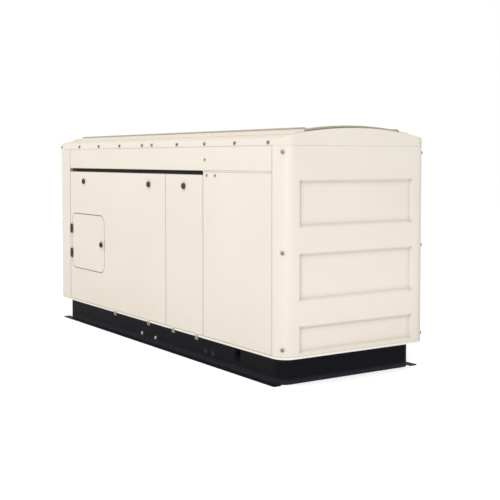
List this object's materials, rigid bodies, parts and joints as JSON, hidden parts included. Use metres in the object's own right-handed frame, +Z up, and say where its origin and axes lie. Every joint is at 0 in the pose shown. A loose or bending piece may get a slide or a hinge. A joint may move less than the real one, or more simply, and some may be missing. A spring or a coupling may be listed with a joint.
{
  "type": "home standby generator",
  "caption": "Cream sheet steel cabinet with lift-off service doors, a hinged control door and a vented roof, on a black base that carries an engine and alternator.",
  "frame": {"origin": "on the floor under the middle of the cabinet", "axes": "+X along the set towards the radiator end, -Y the side with the service doors, +Z up"},
  "size_m": [2.488, 0.88, 1.168],
  "materials": {
    "cream_paint": "cream powder coat, fine orange peel, satin",
    "black_paint": "black chassis paint, satin",
    "galvanised_steel": "galvanised sheet, dull spangle",
    "black_hardware": "moulded black nylon hinges and latches",
    "engine_castings": "painted sand-cast iron",
    "aluminium": "cast and finned aluminium",
    "shaft_steel": "machined steel",
    "aluminised_steel": "aluminised steel tube and shell",
    "rubber": "matt black rubber",
    "black_plastic": "moulded black plastic, fine texture",
    "grey_paint": "grey paint, satin",
    "red_plastic": "red moulded plastic"
  },
  "bodies": {
    "root": {"air_cleaner": "black_plastic", "alternator_stator": "engine_castings", "base_end_left": "black_paint", "base_end_right": "black_paint", "base_rail_front": "black_paint", "base_rail_rear": "black_paint", "battery": "black_plastic", "bell_housing": "engine_castings", "breaker": "black_plastic", "bulkhead": "galvanised_steel", "control_box": "grey_paint", "controller": "black_plastic", "corner_post_front_left": "galvanised_steel", "corner_post_front_right": "galvanised_steel", "corner_post_rear_left": "galvanised_steel", "corner_post_rear_right": "galvanised_steel", "cross_member_left": "black_paint", "cross_member_right": "black_paint", "cylinder_head": "aluminium", "discharge_grille": "black_paint", "end_panel_left": "cream_paint", "end_panel_right": "cream_paint", "engine_block": "engine_castings", "exhaust_manifold": "engine_castings", "exhaust_pipe": "aluminised_steel", "fan_belt": "rubber", "fan_shroud": "black_plastic", "fixed_panel_front": "cream_paint", "header_front": "cream_paint", "intake_pipe": "rubber", "isolator_alternator_front": "rubber", "isolator_alternator_rear": "rubber", "isolator_engine_front": "rubber", "isolator_engine_rear": "rubber", "latch_rail_front": "galvanised_steel", "muffler": "aluminised_steel", "oil_pan": "black_paint", "radiator": "aluminium", "rear_panel_left": "cream_paint", "rear_panel_right": "cream_paint", "rocker_cover": "black_paint", "roof_cap": "cream_paint", "roof_left": "cream_paint", "roof_right": "cream_paint", "sill_frame": "cream_paint"},
    "main_door": {"door_main": "cream_paint", "hinge_upper_fixed": "black_hardware", "hinge_lower_fixed": "black_hardware"},
    "narrow_door": {"door_narrow": "cream_paint"},
    "main_latch_left": {"latch_main_left": "black_hardware"},
    "main_latch_right": {"latch_main_right": "black_hardware"},
    "narrow_latch": {"latch_narrow": "black_hardware"},
    "control_door": {"access_door": "cream_paint", "hinge_upper_moving": "black_hardware", "hinge_lower_moving": "black_hardware"},
    "control_latch": {"access_latch": "black_hardware"},
    "crankshaft": {"crankshaft_rotor": "shaft_steel"},
    "fan": {"cooling_fan": "black_plastic"},
    "stop_button": {"stop_button": "red_plastic"},
    "breaker_lever": {"breaker_handle": "black_plastic"}
  },
  "joints": [
    {"name": "main_door_tilt", "type": "hinge", "parent": "root", "child": "main_door", "pos_m": [-0.4365, -0.43, 0.1376], "axis": [1, 0, 0], "range_deg": [0, 35]},
    {"name": "narrow_door_tilt", "type": "hinge", "parent": "root", "child": "narrow_door", "pos_m": [0.378, -0.43, 0.1376], "axis": [1, 0, 0], "range_deg": [0, 35]},
    {"name": "main_latch_left_turn", "type": "hinge", "parent": "main_door", "child": "main_latch_left", "pos_m": [-0.851, -0.43, 0.877], "axis": [0, -1, 0], "range_deg": [0, 90]},
    {"name": "main_latch_right_turn", "type": "hinge", "parent": "main_door", "child": "main_latch_right", "pos_m": [0, -0.43, 0.877], "axis": [0, -1, 0], "range_deg": [0, 90]},
    {"name": "narrow_latch_turn", "type": "hinge", "parent": "narrow_door", "child": "narrow_latch", "pos_m": [0.381, -0.43, 0.877], "axis": [0, -1, 0], "range_deg": [0, 90]},
    {"name": "control_door_swing", "type": "hinge", "parent": "main_door", "child": "control_door", "pos_m": [-1.038, -0.4343, 0.5035], "axis": [0, 0, -1], "range_deg": [0, 110]},
    {"name": "control_latch_turn", "type": "hinge", "parent": "control_door", "child": "control_latch", "pos_m": [-0.606, -0.43, 0.505], "axis": [0, 1, 0], "range_deg": [0, 90]},
    {"name": "crankshaft_spin", "type": "hinge", "parent": "root", "child": "crankshaft", "pos_m": [0, 0, 0.42], "axis": [1, 0, 0], "continuous": true},
    {"name": "fan_spin", "type": "hinge", "parent": "root", "child": "fan", "pos_m": [0, 0, 0.58], "axis": [1, 0, 0], "continuous": true},
    {"name": "stop_button_press", "type": "slide", "parent": "root", "child": "stop_button", "axis": [0, 1, 0], "range_m": [0, 0.006], "stiffness_N_per_m": 600},
    {"name": "breaker_throw", "type": "hinge", "parent": "root", "child": "breaker_lever", "pos_m": [-0.895, -0.3843, 0.415], "axis": [1, 0, 0], "range_deg": [-25, 25]}
  ],
  "couplings": [
    {"joint": "fan_spin", "follows": "crankshaft_spin", "ratio": 1.4}
  ]
}
